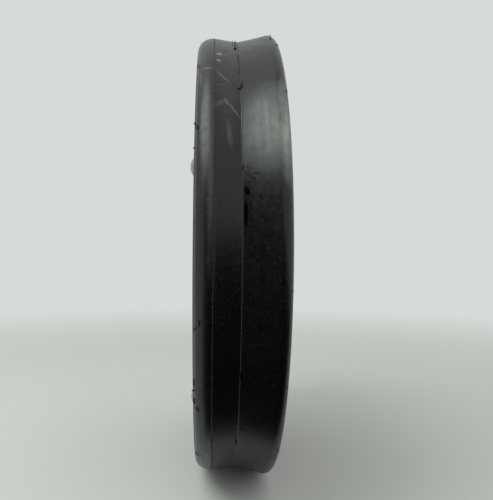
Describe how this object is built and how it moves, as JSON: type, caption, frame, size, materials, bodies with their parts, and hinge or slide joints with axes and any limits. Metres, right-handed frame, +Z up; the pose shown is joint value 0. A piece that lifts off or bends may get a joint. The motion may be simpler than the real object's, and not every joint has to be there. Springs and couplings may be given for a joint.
{
  "type": "gauge wheel",
  "caption": "Narrow planter gauge wheel: hollow rubber tyre with a lip on the disc side, bolted two-piece ribbed rim, sealed ball bearing and dust cap.",
  "frame": {"origin": "on the axle axis, in the plane of the tread's valley", "axes": "+Y along the axle towards the opener disc, -Y to the outboard side with the dust cap, +Z up"},
  "size_m": [0.4064, 0.0699, 0.4064],
  "materials": {
    "tyre_rubber": "moulded rubber, satin",
    "rim_nylon": "moulded glass-filled nylon, fine grain",
    "zinc_plated_steel": "clear zinc plate, satin",
    "insert_nylon": "natural nylon",
    "cap_plastic": "moulded polyethylene, satin",
    "bearing_steel": "ground bearing steel",
    "cage_nylon": "natural nylon",
    "seal_plate_steel": "pressed steel",
    "seal_rubber": "nitrile rubber"
  },
  "bodies": {
    "axle_side": {"bearing_inner_ring": "bearing_steel"},
    "wheel": {"tyre": "tyre_rubber", "outer_rim_half": "rim_nylon", "inner_rim_half": "rim_nylon", "rim_bolts": "zinc_plated_steel", "rim_washers": "zinc_plated_steel", "rim_nuts": "zinc_plated_steel", "rim_nut_inserts": "insert_nylon", "hub_bolts": "zinc_plated_steel", "hub_washers": "zinc_plated_steel", "hub_nuts": "zinc_plated_steel", "hub_nut_inserts": "insert_nylon", "dust_cap": "cap_plastic", "bearing_outer_ring": "bearing_steel", "outboard_seal_plate": "seal_plate_steel", "outboard_seal_lip": "seal_rubber", "inboard_seal_plate": "seal_plate_steel", "inboard_seal_lip": "seal_rubber"},
    "ball_set": {"bearing_balls": "bearing_steel", "bearing_cage": "cage_nylon"}
  },
  "joints": [
    {"name": "wheel_spin", "type": "hinge", "parent": "axle_side", "child": "wheel", "pos_m": [0, 0, 0], "axis": [0, 1, 0], "continuous": true},
    {"name": "ball_set_turn", "type": "hinge", "parent": "axle_side", "child": "ball_set", "pos_m": [0, 0, 0], "axis": [0, 1, 0], "continuous": true}
  ],
  "couplings": [
    {"joint": "ball_set_turn", "follows": "wheel_spin", "ratio": 0.6191}
  ]
}
